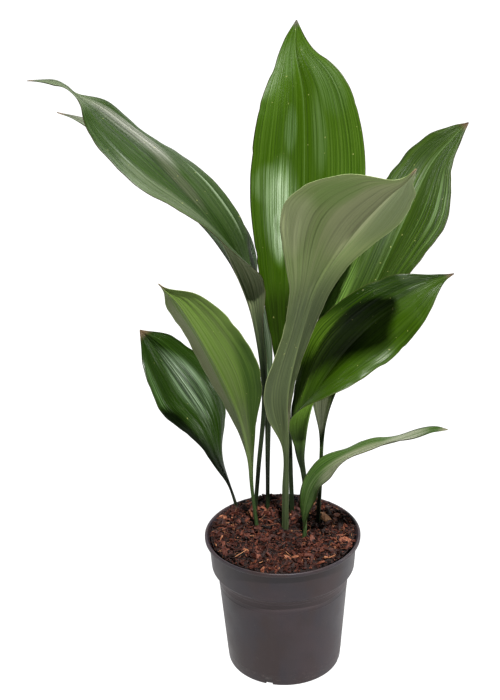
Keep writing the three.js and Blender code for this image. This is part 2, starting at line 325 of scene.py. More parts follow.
def mix_height(x, y):
    """Height of the mix's surface at a place, in mm."""
    at_wall = min(1.0, max(0.0, (math.hypot(x, y) - wall_dip_start) / wall_dip_width))
    behind = min(1.0, max(0.0, (y - heap_start) / heap_length))
    behind *= 1 - 0.45 * min(1.0, abs(x) / heap_half_width)
    lumpy = bumps(x, y, *lumps) + bumps(x, y, *clods)
    return mix_level + lumpy * (1 - 0.5 * at_wall) - wall_dip * at_wall ** 2 + heap_rise * behind


def bark_colour(finish, tone, grain):
    """Colours of weathered bark, from wet umber to fresh orange-brown."""
    ramp = finish.add("ShaderNodeValToRGB")
    while len(ramp.color_ramp.elements) < len(bark_shades):
        ramp.color_ramp.elements.new(0.5)
    for element, (position, colour) in zip(ramp.color_ramp.elements, bark_shades):
        element.position = position
        element.color = (*colour, 1)
    grained = finish.times(finish.math("SUBTRACT", grain, 0.5), bark_grain_share)
    finish.set(ramp, "Fac", finish.plus(tone, grained))
    return ramp.outputs["Color"]


def moist_peat():
    """Peat and coir between the chips: dark, matt and crumbly."""
    finish = Finish("moist_peat")
    place = finish.place()
    crumbs = finish.speckle(place, 620, 5, 0.7)
    patches = finish.speckle(place, 130, 3, 0.6)
    tone = finish.times(patches, 0.62)
    finish.set(finish.skin, "Base Color", bark_colour(finish, tone, crumbs))
    finish.skin.inputs["Roughness"].default_value = 0.85
    finish.relief(crumbs, 0.0016)
    return finish.material


mix_line = rounded_line([(0, pot_wall + mix_gap, 0), (foot_radius - 5, pot_wall + mix_gap, 0),
                         (foot_radius - 2.2, 5, 0), (body_top_radius - pot_wall - mix_gap, body_top, 0),
                         (collar_foot_radius - pot_wall - mix_gap, collar_foot, 0),
                         (mix_radius - 2.2, mix_level - 2.5, 0)])
mix_line += [Vector((mix_radius * k / mix_rings, mix_level)) for k in range(mix_rings - 1, -1, -1)]
mix_body = turn_body(mix_line, mix_steps)
for vert in mix_body.verts:
    x, y, z = vert.co / mm
    if z > mix_level - 1:
        crumb = bumps(x, y, *grains) + bumps(x, y, *grit)
        vert.co.z = (mix_height(x, y) + crumb) * mm
peat = moist_peat()
potting_mix = piece_of(mix_body, "potting_mix_fill", [peat])
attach(potting_mix, "root")
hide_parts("potting_mix")


# Bark chips: broken flakes of pine bark, bedded in the top of the mix at every angle. Fresh ones are
# orange-brown, wet ones almost black.
chip_count = 1900
chip_shortest, chip_range = 3.0, 9.5
chip_lift = (-0.6, 2.3)
chip_tilt = 0.5
chip_tone, chip_tone_spread = 0.47, 0.18
corner_shrink = (1.0, 1.0, 0.9, 0.78)
crumb_count = 2300
crumb_smallest, crumb_range = 0.9, 2.0
crumb_lift = (0.2, 2.4)
scatter_reach = 80.6
any_turn = (0, 6.3)
scatter = random.Random(5)


def bark_finish(name, roughness):
    """Bark or fibre whose shade goes by the bit's own tone, with a fine grain."""
    finish = Finish(name)
    place = finish.place()
    tone = finish.add("ShaderNodeAttribute", {"attribute_name": "tone"}).outputs["Fac"]
    grain = finish.speckle(finish.stretch(place, (1, 1, 2.2)), 420, 4, 0.65)
    finish.set(finish.skin, "Base Color", bark_colour(finish, tone, grain))
    finish.skin.inputs["Roughness"].default_value = roughness
    finish.skin.inputs["IOR"].default_value = 1.35
    finish.relief(grain, 0.0008)
    return finish.material


def pattern_of(body, name):
    """The mesh of a small body, to be strewn many times."""
    pattern = bpy.data.meshes.new(name)
    body.to_mesh(pattern)
    body.free()
    return pattern


def chip_patterns(count):
    """Broken flakes: a brick cut once each way, with every corner knocked about."""
    patterns = []
    for _ in range(count):
        flake = bmesh.new()
        bmesh.ops.create_cube(flake, size=1)
        bmesh.ops.subdivide_edges(flake, edges=flake.edges[:], cuts=1, use_grid_fill=True)
        for vert in flake.verts:
            vert.co += Vector([scatter.uniform(-0.13, 0.13) for _ in range(3)])
            corner = sum(abs(c) > 0.3 for c in vert.co)
            vert.co *= corner_shrink[corner]
        patterns.append(pattern_of(flake, "flake"))
    return patterns


def crumb_patterns(count):
    """Small round crumbs, each point moved in or out."""
    patterns = []
    for _ in range(count):
        crumb = bmesh.new()
        bmesh.ops.create_icosphere(crumb, subdivisions=1, radius=0.5)
        for vert in crumb.verts:
            vert.co *= scatter.uniform(0.7, 1.25)
        patterns.append(pattern_of(crumb, "crumb"))
    return patterns


def strew(pile, pattern, lie, tone, bend=0.0):
    """Adds one bit to a pile: its pattern bowed by bend, laid by the matrix lie, with its own tone."""
    start = len(pile.verts)
    pile.from_mesh(pattern)
    pile.verts.ensure_lookup_table()
    for vert in pile.verts[start:]:
        along = vert.co.x
        vert.co = lie @ (vert.co + Vector((0, bend * (along * along - 0.1), 0.2 * bend * along * along)))
        vert[tone_of] = tone


def lie_at(x, y, lift, sizes, turn, tilt, roll):
    """Where a bit lies: its middle on the mix at x and y, its sizes in mm and its angles in radians."""
    place = Matrix.Translation(Vector((x, y, mix_height(x, y) + lift)) * mm)
    turned = Euler((roll, tilt, turn)).to_matrix().to_4x4()
    return place @ turned @ Matrix.Diagonal((*[s * mm for s in sizes], 1))


def strewn_place(reach):
    """A place on the mix within a reach of its middle, evenly spread."""
    spread = reach * math.sqrt(scatter.random())
    turn = scatter.uniform(0, 2 * math.pi)
    return spread * math.cos(turn), spread * math.sin(turn)


flakes = chip_patterns(14)
chips = bmesh.new()
tone_of = chips.verts.layers.float.new("tone")
for _ in range(chip_count):
    length = chip_shortest + chip_range * scatter.random() ** 2.4
    sizes = (length, length * scatter.uniform(0.2, 0.48), min(2.8, length * scatter.uniform(0.15, 0.4)))
    x, y = strewn_place(scatter_reach - 0.45 * length)
    lie = lie_at(x, y, scatter.uniform(*chip_lift), sizes, scatter.uniform(*any_turn),
                 scatter.gauss(0, chip_tilt), scatter.gauss(0, chip_tilt))
    flake = scatter.choice(flakes)
    strew(chips, flake, lie, min(0.92, max(0.05, scatter.gauss(chip_tone, chip_tone_spread))))
# The chips that stand out, a big orange-brown one on the right among them: place, sizes, turn and tone
for x, y, sizes, turn, tone in ((47, 27, (24, 8, 3.4), -57, 1.0), (-58, 15, (13, 4.5, 2), -55, 0.97),
                                (67, -18, (13, 8, 3), 20, 0.84), (38, 47, (9, 3, 2), -70, 0.95),
                                (62, 32, (12, 7, 2.5), 15, 0.8), (-66, 32, (9, 6, 2), 30, 0.88)):
    strew(chips, flakes[0], lie_at(x, y, 2.0, sizes, math.radians(turn), 0.1, 0.15), tone)
bark_chips = piece_of(chips, "bark_chips", [bark_finish("pine_bark", 0.55)], smooth=False)
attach(bark_chips, "root")

crumb_shapes = crumb_patterns(8)
crumbs = bmesh.new()
tone_of = crumbs.verts.layers.float.new("tone")
for _ in range(crumb_count):
    size = crumb_smallest + crumb_range * scatter.random() ** 2
    x, y = strewn_place(scatter_reach)
    sizes = (size, size * scatter.uniform(0.6, 1), size * scatter.uniform(0.5, 0.9))
    lie = lie_at(x, y, scatter.uniform(*crumb_lift), sizes, scatter.uniform(*any_turn), 0, 0)
    strew(crumbs, scatter.choice(crumb_shapes), lie, min(1.0, max(0.1, scatter.gauss(0.5, 0.2))))
bark_crumbs = piece_of(crumbs, "bark_crumbs", [bark_finish("crumbled_bark", 0.8)], smooth=False)
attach(bark_crumbs, "root")


# Coir strands and straw: stiff curly fibres that lie loose over the mix, most of them short, with a few
# pale sticks among them.
strand_count = 420
strand_shortest, strand_range = 5, 17
strand_thickness = (0.3, 0.65)
strand_lift = (0.8, 2.6)
strand_bend = 9
straw_thickness = 1.1
strand = bmesh.new()
bmesh.ops.create_cone(strand, cap_ends=True, segments=4, radius1=0.5, radius2=0.35, depth=1,
                      matrix=Matrix.Rotation(math.pi / 2, 4, "Y"))
lengthways = [e for e in strand.edges if abs(e.verts[0].co.x - e.verts[1].co.x) > 0.5]
bmesh.ops.subdivide_edges(strand, edges=lengthways, cuts=7)
strand_pattern = pattern_of(strand, "strand")
strands = bmesh.new()
tone_of = strands.verts.layers.float.new("tone")
for _ in range(strand_count):
    length = strand_shortest + strand_range * scatter.random() ** 2
    thick = scatter.uniform(*strand_thickness)
    x, y = strewn_place(scatter_reach - 0.5 * length)
    lie = lie_at(x, y, scatter.uniform(*strand_lift), (length, thick, thick), scatter.uniform(*any_turn),
                 scatter.gauss(0, 0.16), 0)
    tone = scatter.uniform(0.45, 0.98)
    strew(strands, strand_pattern, lie, tone, scatter.uniform(-strand_bend, strand_bend))
# The pale straws that stand out: place, length and turn
for x, y, length, turn in ((-44, -46, 20, 50), (-20, -62, 12, 35), (20, -60, 10, 75), (5, -44, 12, -60),
                           (-35, -8, 12, -10), (52, -52, 9, 40)):
    sizes = (length, straw_thickness, straw_thickness)
    strew(strands, strand_pattern, lie_at(x, y, 2.6, sizes, math.radians(turn), 0.03, 0), 1.0, 0.5)
coir_strands = piece_of(strands, "coir_strands", [bark_finish("coir", 0.7)])
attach(coir_strands, "root")


# The tall leaf, in the middle: like every leaf of the plant, one tough evergreen blade on a channelled
# stalk that comes straight out of the mix. Fine veins run along it, on both sides of a pale midrib.
blade = 0.6
rib_tip = 0.5
rib_depth = 1.45
rib_share = 0.8
arch_rise = 0.06
wave_reach = 25
margin_shift = 0.37
midrib_crowding = 1.35
margin_strip = 0.8
pleats_from, pleats_over = 6, 20
pleat_run = 2.5
ripple_length, ripple_height = 16, 0.9
notch_length, notch_depth = 15, 2.4
stalk_foot = 130
stalk_straight = 156
leaf_gloss = 1.29
speck_yellow = (0.3, 0.3, 0.12)
dry_tip = (0.22, 0.15, 0.09)
pale_margin = (0.22, 0.25, 0.12)
brown_margin = (0.035, 0.03, 0.012)
light_rib = (0.1, 0.16, 0.05)
dark_stalk = (0.022, 0.034, 0.014)
green_stalk = (0.05, 0.085, 0.03)


def along_rows(rows, t):
    """The numbers of a leaf's rows at t, from 0 at the foot to 1 at the tip, on a smooth track through
    them all."""
    last = len(rows) - 1
    i = min(int(t * last), last - 1)
    w = t * last - i
    first, second = rows[i], rows[i + 1]
    before = rows[i - 1] if i else [2 * a - b for a, b in zip(first, second)]
    after = rows[i + 2] if i + 2 <= last else [2 * b - a for a, b in zip(first, second)]
    out = []
    for p, a, b, q in zip(before, first, second, after):
        start, end = (b - p) / 2, (q - a) / 2
        cubic, square = 2 * a - 2 * b + start + end, 3 * b - 3 * a - 2 * start - end
        out.append(cubic * w ** 3 + square * w * w + start * w + a)
    return out


def stations_of(rows, count):
    """Midrib point, width and upward directions, half-widths, fold and length so far at every station."""
    stations, length, last_middle = [], 0.0, None
    for i in range(count + 1):
        t = i / count
        values = along_rows(rows, t)
        ahead, back = along_rows(rows, min(1, t + 1e-3)), along_rows(rows, max(0, t - 1e-3))
        middle = Vector(values[:3])
        along = (Vector(ahead[:3]) - Vector(back[:3])).normalized()
        compass = math.radians(values[6])
        across = Vector((math.cos(compass), math.sin(compass), 0))
        across = (across - across.dot(along) * along).normalized()
        length += (middle - last_middle).length if last_middle else 0
        last_middle = middle
        left, right, fold = values[3], values[4], math.radians(values[5])
        stations.append((t, middle, across, across.cross(along), left, right, fold, length))
    return stations


def leaf_blade(foot, stalk, wave, rows, stations=150, columns=96, pleats=(9, 0.5, 0)):
    """A closed leaf: an upper face mapped from a grid, an under face a blade's thickness below it, and
    the margin that joins them. A row is a point of the midrib, the half-widths left and right of it, the
    fold of the halves and the turn of the blade, in mm and degrees. The leaf keeps where each point lies
    on it, along and across the veins, as attributes."""
    x, y, turn = foot
    rows = [[x, y, z, stalk, stalk, 0, turn] for z in (stalk_foot, stalk_straight)] + rows
    wave_height, waves, phase = wave
    pleat_count, pleat_depth, pleat_seed = pleats
    leaf = bmesh.new()
    lie = leaf.verts.layers.float_vector.new("lie")
    edge = leaf.verts.layers.float_vector.new("edge")
    bmesh.ops.create_grid(leaf, x_segments=stations, y_segments=columns, size=1)
    upper = leaf.verts[:]
    copy = bmesh.ops.duplicate(leaf, geom=leaf.verts[:] + leaf.edges[:] + leaf.faces[:])
    under = copy["vert_map"]
    under_faces = [f for f in copy["geom"] if isinstance(f, bmesh.types.BMFace)]
    bmesh.ops.reverse_faces(leaf, faces=under_faces)
    for face in under_faces:
        face.material_index = 1
    rims = [e for e in leaf.edges if e.is_boundary]
    bmesh.ops.bridge_loops(leaf, edges=rims)
    track = stations_of(rows, stations)
    whole = track[-1][-1]
    for vert in upper:
        t, middle, across, up, left, right, fold, length = track[round((vert.co.x + 1) / 2 * stations)]
        v = vert.co.y
        side = (v > 0) - (v < 0)
        width = max(left if v < 0 else right, rib_tip)
        reach = width * abs(v) ** midrib_crowding
        if abs(v) < 0.999 and width > 5:
            reach = min(reach, width - margin_strip)
        share = reach / width
        rib = min(rib_share * width, stalk + (rib_tip - stalk) * t)
        arch = arch_rise * width * 4 * share * (1 - share)
        swell = wave_height * share * share * min(1, width / wave_reach)
        rise = arch + swell * math.sin(2 * math.pi * (waves * t + phase + (margin_shift if v > 0 else 0)))
        spread = min(1, max(0, (width - pleats_from) / pleats_over))
        pleat = noise.noise(Vector((side * share * pleat_count, t * pleat_run, pleat_seed)))
        rise += spread * (1 - share ** 4) * min(1, reach / 2) * pleat_depth * pleat
        ripple = noise.noise(Vector((side * 3.0, length / ripple_length, pleat_seed + 4)))
        rise += ripple_height * spread * share ** 3 * ripple
        outward = side * math.cos(fold) * across + math.sin(fold) * up
        normal = math.cos(fold) * up - side * math.sin(fold) * across
        notch = noise.noise(Vector((side * 5.0, length / notch_length, pleat_seed + 8)))
        inset = notch_depth * spread * share ** 4 * max(0, notch)
        point = middle + outward * (reach - inset) + normal * rise
        in_rib = min(1, reach / rib)
        below = up.lerp(normal, in_rib).normalized()
        depth = blade + rib_depth * rib * (1 - 0.5 * t) * math.sqrt(1 - in_rib * in_rib)
        for place, drop in ((vert, 0), (under[vert], depth)):
            place[lie] = Vector((length * mm, side * share, t))
            place[edge] = Vector((reach, width - reach, whole - length))
            place.co = (point - below * drop) * mm
    return leaf


def leaf_finish(name, deep, fresh, bloom, bloom_share, margin, roughness, stalk=dark_stalk, tip=dry_tip,
                stalk_ends=(0.1, 0.2), contrast=1.0, bands=16, seed=0.0, rib=None, swell=0.003,
                tints_and_painted_light=(), grained=0.15, dips=()):
    """Leaf tissue: fine parallel veins from deep to fresh green, a greyish bloom, the stalk's own colour
    low down, a thin margin, a dry tip and a few yellow specks, over a gently swelling surface. A tint is
    a place on the blade (along it in m, across it from -1 to 1, and its reach each way) with a colour and
    its share, of which at least grained shows between the streaks. Tints give the blade's own markings,
    and also painted shade, painted shadow, painted sheen and painted highlights. A dip is a place with a
    turn of the surface, for a hollow too small for the mesh."""
    finish = Finish(name)
    lie = finish.add("ShaderNodeAttribute", {"attribute_name": "lie"}).outputs["Vector"]
    edge = finish.add("ShaderNodeAttribute", {"attribute_name": "edge"}).outputs["Vector"]
    lie_parts = finish.add("ShaderNodeSeparateXYZ", None, Vector=lie).outputs
    edge_parts = finish.add("ShaderNodeSeparateXYZ", None, Vector=edge).outputs
    along, across = lie_parts["X"], lie_parts["Y"]
    reach, rim, to_tip = edge_parts["X"], edge_parts["Y"], edge_parts["Z"]

    def streaks(length_scale, width_scale, shift, detail=2.0):
        """Random streaks: how often they change along and across the blade, and where they start."""
        place = finish.add("ShaderNodeCombineXYZ", None, X=finish.times(along, length_scale),
                           Y=finish.times(across, width_scale), Z=seed + shift)
        return finish.speckle(place.outputs[0], 1.0, detail, 0.6)

    def veins(count, sharp, phase):
        """Even lines along the blade, broken here and there: their count each side and how thin."""
        wave = finish.math("SINE", finish.math("MULTIPLY_ADD", across, 2 * math.pi * count, phase + seed))
        broken = finish.span(streaks(7, 2 * count, phase), 0.4, 0.6)
        return finish.times(finish.span(wave, sharp, 1.0), broken)

    def near(spot_along, spot_across, long_reach, wide_reach):
        """A soft oval round a place on the blade."""
        far_along = finish.math("DIVIDE", finish.math("SUBTRACT", along, spot_along), long_reach)
        far_across = finish.math("DIVIDE", finish.math("SUBTRACT", across, spot_across), wide_reach)
        far = finish.times(far_across, far_across)
        return finish.span(finish.math("MULTIPLY_ADD", far_along, far_along, far), 0.1, 1.0, 1.0, 0.0)

    fine = streaks(11, 5 * bands, 0.3)
    lines = streaks(5, 2.2 * bands, 7.7, 1.0)
    broad = streaks(6, bands, 5.7, 3.0)
    cloud = streaks(14, 3.0, 9.1)
    dark_veins = finish.math("MAXIMUM", veins(0.9 * bands, 0.75, 0.0),
                             finish.times(veins(2.3 * bands, 0.5, 1.3), 0.6))
    pale_veins = veins(0.6 * bands, 0.88, 2.6)
    mix = finish.plus(finish.times(fine, 0.26), finish.times(broad, 0.2))
    mix = finish.plus(mix, finish.math("MULTIPLY_ADD", cloud, 0.16, finish.times(lines, 0.38)))
    half = 0.26 / contrast
    tint_grain = finish.span(finish.plus(lines, fine), 0.86, 1.12, grained, 1.0)
    dip_grain = finish.span(fine, 0.35, 0.6, 0.72, 1.0)
    colour = finish.blend(finish.span(mix, 0.5 - half, 0.5 + half), deep, fresh)
    colour = finish.blend(finish.times(finish.span(broad, 0.42, 0.68), bloom_share), colour, bloom)
    colour = finish.blend(finish.times(pale_veins, 0.22 * contrast), colour, bloom)
    darkest = tuple(c * 0.45 for c in deep)
    colour = finish.blend(finish.times(dark_veins, 0.65 * contrast), colour, darkest)
    # Tints lay real markings, and also painted shade, shadow, sheen and highlights, over the colour.
    for *spot, tint, tint_share in tints_and_painted_light:
        here = finish.times(near(*spot), tint_grain)
        colour = finish.blend(finish.times(here, tint_share), colour, tint)
    specks = finish.span(finish.speckle(finish.place(), 420, 0), 0.84, 0.87, 0, 0.6)
    colour = finish.blend(specks, colour, speck_yellow)
    colour = finish.blend(finish.span(reach, 0.3, 1.1, 0.4, 0), colour, rib or margin)
    on_blade = finish.span(finish.plus(reach, rim), 4, 9)
    thin_margin = finish.times(finish.span(rim, 0.25, 0.9, 0.85, 0), on_blade)
    colour = finish.blend(thin_margin, colour, margin)
    colour = finish.blend(finish.span(along, *stalk_ends, 1, 0), colour, stalk)
    ragged = finish.times(finish.math("SUBTRACT", fine, 0.5), 14)
    dry = finish.span(finish.plus(to_tip, ragged), 2, 12, 1, 0)
    colour = finish.blend(finish.times(dry, 0.85), colour, tip)
    finish.set(finish.skin, "Base Color", colour)
    finish.set(finish.skin, "Roughness", finish.span(fine, 0.3, 0.7, roughness - 0.04, roughness + 0.05))
    finish.skin.inputs["IOR"].default_value = leaf_gloss
    facing = finish.add("ShaderNodeNewGeometry").outputs["Normal"]
    for *spot, aside in dips:
        here = finish.times(near(*spot), dip_grain)
        turned = finish.add("ShaderNodeVectorMath", {"operation": "MULTIPLY_ADD"})
        finish.set(turned, 0, finish.add("ShaderNodeCombineXYZ", None, X=here, Y=here, Z=here).outputs[0])
        turned.inputs[1].default_value = aside
        finish.set(turned, 2, facing)
        facing = turned.outputs[0]
    facing = finish.add("ShaderNodeVectorMath", {"operation": "NORMALIZE"}, Vector=facing).outputs[0]
    rolling = finish.add("ShaderNodeBump", None, Distance=swell, Height=streaks(9, 1.7, 3.3, 0.0),
                         Normal=facing)
    ridges = finish.plus(finish.times(lines, 0.7), finish.times(broad, 1.0))
    ridges = finish.math("SUBTRACT", ridges, finish.times(dark_veins, 0.5))
    grooves = finish.add("ShaderNodeBump", None, Distance=0.0003, Height=ridges, Normal=rolling.outputs[0])
    finish.set(finish.skin, "Normal", grooves.outputs[0])
    return finish.material


def leaf_piece(node, body, upper, under):
    """Puts a leaf in the scene in place of its node."""
    piece = piece_of(body, node + "_blade", [upper, under])
    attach(piece, "root")
    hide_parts(node)
    return piece


tall_body = leaf_blade(foot=(11, 35, 0), stalk=2.5, wave=(1.6, 3.5, 0.1), pleats=(9, 0.35, 1.5), rows=[
    [10, 40, 232, 2.5, 2.5, 30, -20],
    [9, 43, 291, 4, 4, 45, -25],
    [12, 48, 353, 20, 18, 45, -25],
    [24, 58, 451, 48, 47, 30, -15],
    [28, 67, 534, 59, 64, 20, 0],
    [28, 80, 615, 49, 53, 25, 5],
    [21, 95, 660, 18, 19, 25, -5],
    [22.5, 119, 687.8, 0.5, 0.5, 35, -20],
])
tall_upper = leaf_finish(
    "tall_leaf_upper", deep=(0.02, 0.05, 0.0005), fresh=(0.046, 0.092, 0.002), bloom=(0.1, 0.15, 0.05),
    bloom_share=0.1, margin=brown_margin, tip=(0.11, 0.1, 0.08), roughness=0.42, seed=1, rib=light_rib,
    contrast=0.9, bands=20,
    # Tints: paler patches of painted sheen up the blade, the two lowest a painted highlight beside the front
    # leaf, and a dark band of painted shade low on the blade.
    tints_and_painted_light=[(0.43, 0.75, 0.06, 0.4, (0.08, 0.14, 0.02), 0.35),
           (0.5, 0.62, 0.035, 0.35, (0.09, 0.14, 0.06), 0.4),
           (0.455, 0.28, 0.05, 0.16, (0.12, 0.18, 0.08), 0.35),
           (0.46, -0.3, 0.03, 0.16, (0.17, 0.25, 0.14), 0.35),
           (0.53, -0.35, 0.025, 0.3, (0.11, 0.17, 0.07), 0.35),
           (0.375, -0.45, 0.065, 0.42, (0.22, 0.29, 0.18), 0.6),
           (0.405, -0.72, 0.025, 0.3, (0.16, 0.22, 0.12), 0.5),
           (0.235, 0, 0.07, 3, (0.014, 0.028, 0.0005), 1.2)],
    dips=[(0.386, -0.47, 0.047, 0.28, (-0.32, 0.12, 0.5)),
          (0.343, -0.52, 0.035, 0.14, (-0.28, 0.15, 0.55))])
tall_under = leaf_finish(
    "tall_leaf_under", deep=(0.075, 0.125, 0.035), fresh=(0.125, 0.18, 0.06), bloom=(0.2, 0.22, 0.12),
    bloom_share=0.2, margin=pale_margin, roughness=0.55, seed=2)
leaf_piece("leaf_tall", tall_body, tall_upper, tall_under)


# The front leaf: it stands in front of the others and arches forward, so its matte grey-green underside
# is what shows, with a fine pale margin and a small curled point.
front_body = leaf_blade(foot=(3, 9, 200), stalk=4, wave=(1.4, 3, 0.4), pleats=(8, 0.8, 2.5), rows=[
    [4, 4, 208, 3.9, 3.9, 15, 215],
    [5, -4, 265, 4.6, 4.6, 20, 220],
    [6, -20, 336, 20, 29, 15, 230],
    [22, -30, 410, 28, 26, 5, 230],
    [39, -43, 464, 48, 40, 5, 225],
    [69, -67, 519, 64, 72, 20, 195],
    [97, -92, 560, 45, 50, 20, 195],
    [115, -104, 580, 13, 14, 10, 215],
    [123, -112, 594, 0.5, 0.5, 0, 225],
])
front_upper = leaf_finish(
    "front_leaf_upper", deep=(0.03, 0.085, 0.008), fresh=(0.075, 0.165, 0.018), bloom=(0.12, 0.2, 0.07),
    bloom_share=0.1, stalk=green_stalk, margin=pale_margin, roughness=0.38, seed=3)
front_under = leaf_finish(
    "front_leaf_under", deep=(0.175, 0.225, 0.082), fresh=(0.235, 0.3, 0.118), bloom=(0.3, 0.3, 0.17),
    bloom_share=0.3, stalk=(0.075, 0.1, 0.045), margin=(0.25, 0.27, 0.14), tip=(0.3, 0.24, 0.17),
    roughness=0.62, seed=4, bands=9, rib=(0.14, 0.17, 0.07), contrast=0.85, grained=0.75,
    # The first tint is painted light over the shade that the blade casts on itself near its top; the fifth
    # is painted shade at the foot.
    tints_and_painted_light=[(0.44, 0.05, 0.08, 0.45, (0.31, 0.315, 0.19), 0.7),
           (0.4, 0.8, 0.035, 0.3, (0.34, 0.37, 0.21), 0.7),
           (0.445, 0.62, 0.03, 0.35, (0.16, 0.24, 0.07), 0.6),
           (0.45, -0.65, 0.09, 0.55, (0.135, 0.165, 0.08), 0.7),
           (0.24, 0, 0.14, 3, (0.07, 0.09, 0.042), 1.1),
           (0.275, 0.85, 0.05, 0.5, (0.09, 0.12, 0.045), 0.6),
           (0.12, -0.8, 0.09, 1, (0.1, 0.08, 0.055), 0.8)],
    dips=[(0.385, 0.68, 0.07, 0.8, (0, 0.14, -0.55))])
leaf_piece("leaf_front", front_body, front_upper, front_under)


# The far left leaf: a long blade that arches out over the left and ends in a drawn-out, twisted point. It
# is pleated along the midrib, and its foot is folded so that the grey underside shows.
far_left_body = leaf_blade(foot=(-30, 40, 40), stalk=2.5, wave=(1.2, 4, 0.7), pleats=(14, 1.1, 3.5), rows=[
    [-25, 41, 213, 2.5, 2.5, 25, 65],
    [-17, 43, 303, 3.5, 3.5, 40, 80],
    [-25, 46, 384, 10, 11, 50, 90],
    [-41, 49, 437, 37, 31, 40, 95],
    [-65, 47, 491, 35, 36, 25, 70],
    [-118, 59, 557, 47, 51, -10, 60],
    [-167, 78, 596, 38, 42, -10, 65],
    [-203, 93, 621, 4, 3.5, 10, 55],
    [-224, 103, 635, 8, 8, -35, 80],
    [-256.6, 114, 633, 0.5, 0.5, 5, 105],
])
far_left_upper = leaf_finish(
    "far_left_leaf_upper", deep=(0.009, 0.024, 0.002), fresh=(0.027, 0.058, 0.006),
    bloom=(0.08, 0.1, 0.05), bloom_share=0.2, margin=brown_margin, roughness=0.42, seed=5,
    rib=(0.02, 0.025, 0.012), contrast=1.5, bands=24,
    # Tints: a pale grey band of painted sheen on the pleats beside the midrib, grey painted sheen along the
    # lower margin and in the middle, and a pale line of painted sheen near the margin; the dark lines are
    # painted shade in the grooves along the midrib, and the last tint pales the point.
    tints_and_painted_light=[(0.51, 0.27, 0.08, 0.32, (0.23, 0.23, 0.195), 0.85),
           (0.53, 0.12, 0.07, 0.05, (0.012, 0.018, 0.008), 0.8),
           (0.51, 0.38, 0.05, 0.03, (0.015, 0.022, 0.01), 0.7),
           (0.425, -0.78, 0.075, 0.3, (0.13, 0.15, 0.095), 0.5),
           (0.39, 0.72, 0.06, 0.045, (0.3, 0.37, 0.25), 0.6),
           (0.47, -0.08, 0.11, 0.07, (0.01, 0.018, 0.006), 0.7),
           (0.43, 0.1, 0.05, 0.2, (0.1, 0.1, 0.07), 0.6),
           (0.6, 0, 0.06, 6, (0.15, 0.18, 0.11), 1.2)])
far_left_under = leaf_finish(
    "far_left_leaf_under", deep=(0.12, 0.165, 0.065), fresh=(0.26, 0.3, 0.16), bloom=(0.42, 0.38, 0.27),
    bloom_share=0.3, margin=(0.42, 0.4, 0.24), roughness=0.6, seed=6, contrast=1.6,
    stalk_ends=(0.2, 0.33),
    # The tint is painted shade at the foot.
    tints_and_painted_light=[(0.24, 0, 0.05, 3, (0.07, 0.09, 0.045), 0.9)])
leaf_piece("leaf_far_left", far_left_body, far_left_upper, far_left_under)


# The leaf behind the far left one: it runs beside it and is mostly hidden, with a pale strip of painted
# sheen beyond its neighbour and a dry grey point.
behind_left_body = leaf_blade(foot=(-16, 44, 40), stalk=2.5, wave=(1.2, 3, 0.2), pleats=(9, 0.7, 4.5), rows=[
    [-15, 51, 207, 2.5, 2.5, 15, 55],
    [-15, 63, 288, 4, 6, 35, 65],
    [-19, 74, 349, 11, 14, 35, 75],
    [-32, 86, 402, 22, 20, 20, 75],
    [-57, 98, 456, 31, 33, 25, 60],
    [-109, 117, 517, 32, 31, 15, 60],
    [-167, 132.4, 562, 24, 24, 15, 60],
    [-210, 143, 584, 6, 6, 10, 60],
    [-234, 147, 592, 0.5, 0.5, 0, 60],
])
# The upper face's pale grey-green colours and strong bloom are painted sheen.
behind_left_upper = leaf_finish(
    "behind_left_leaf_upper", deep=(0.05, 0.1, 0.03), fresh=(0.1, 0.16, 0.065), bloom=(0.3, 0.34, 0.26),
    bloom_share=0.4, margin=brown_margin, roughness=0.36, seed=7, bands=10,
    tints_and_painted_light=[(0.6, 0, 0.09, 4, (0.1, 0.09, 0.07), 1.3)])
behind_left_under = leaf_finish(
    "behind_left_leaf_under", deep=(0.08, 0.11, 0.05), fresh=(0.14, 0.17, 0.09), bloom=(0.2, 0.2, 0.14),
    bloom_share=0.3, margin=(0.34, 0.36, 0.2), tip=(0.2, 0.17, 0.14), roughness=0.6, seed=8)
leaf_piece("leaf_behind_left", behind_left_body, behind_left_upper, behind_left_under)


# The left leaf: it leans towards the front left with its face turned away, so the lighter yellow-green
# underside shows, greyer along its outer half.
left_body = leaf_blade(foot=(-28, 14, 140), stalk=2.5, wave=(1, 3, 0.9), pleats=(9, 0.7, 5.5), rows=[
    [-32, 10, 205, 2, 2, 10, 140],
    [-34, 5, 243, 4.5, 4.5, 20, 140],
    [-42, -4, 295, 18, 17, 15, 145],
    [-57, -21, 349, 41, 34, 20, 150],
    [-77, -38, 402, 39, 39, 25, 155],
    [-96, -51, 444, 24, 23, 20, 160],
    [-110, -58, 464, 4, 4, 20, 150],
    [-115, -60, 471, 0.5, 0.5, 10, 145],
])
left_upper = leaf_finish(
    "left_leaf_upper", deep=(0.028, 0.08, 0.008), fresh=(0.07, 0.15, 0.018), bloom=(0.12, 0.2, 0.07),
    bloom_share=0.1, stalk=green_stalk, margin=pale_margin, roughness=0.4, seed=9)
left_under = leaf_finish(
    "left_leaf_under", deep=(0.084, 0.139, 0.022), fresh=(0.13, 0.204, 0.04), bloom=(0.17, 0.19, 0.1),
    bloom_share=0.25, stalk=green_stalk, margin=(0.17, 0.19, 0.09), tip=(0.2, 0.16, 0.11), roughness=0.58,
    seed=10, rib=(0.11, 0.15, 0.05), contrast=0.9, stalk_ends=(0.05, 0.13), grained=0.5,
    tints_and_painted_light=[(0.25, 0.75, 0.14, 0.45, (0.155, 0.16, 0.09), 0.9),
           (0.13, 0, 0.08, 3, (0.11, 0.135, 0.065), 0.9),
           (0.2, -0.85, 0.1, 0.5, (0.036, 0.078, 0.005), 1.4)])
leaf_piece("leaf_left", left_body, left_upper, left_under)


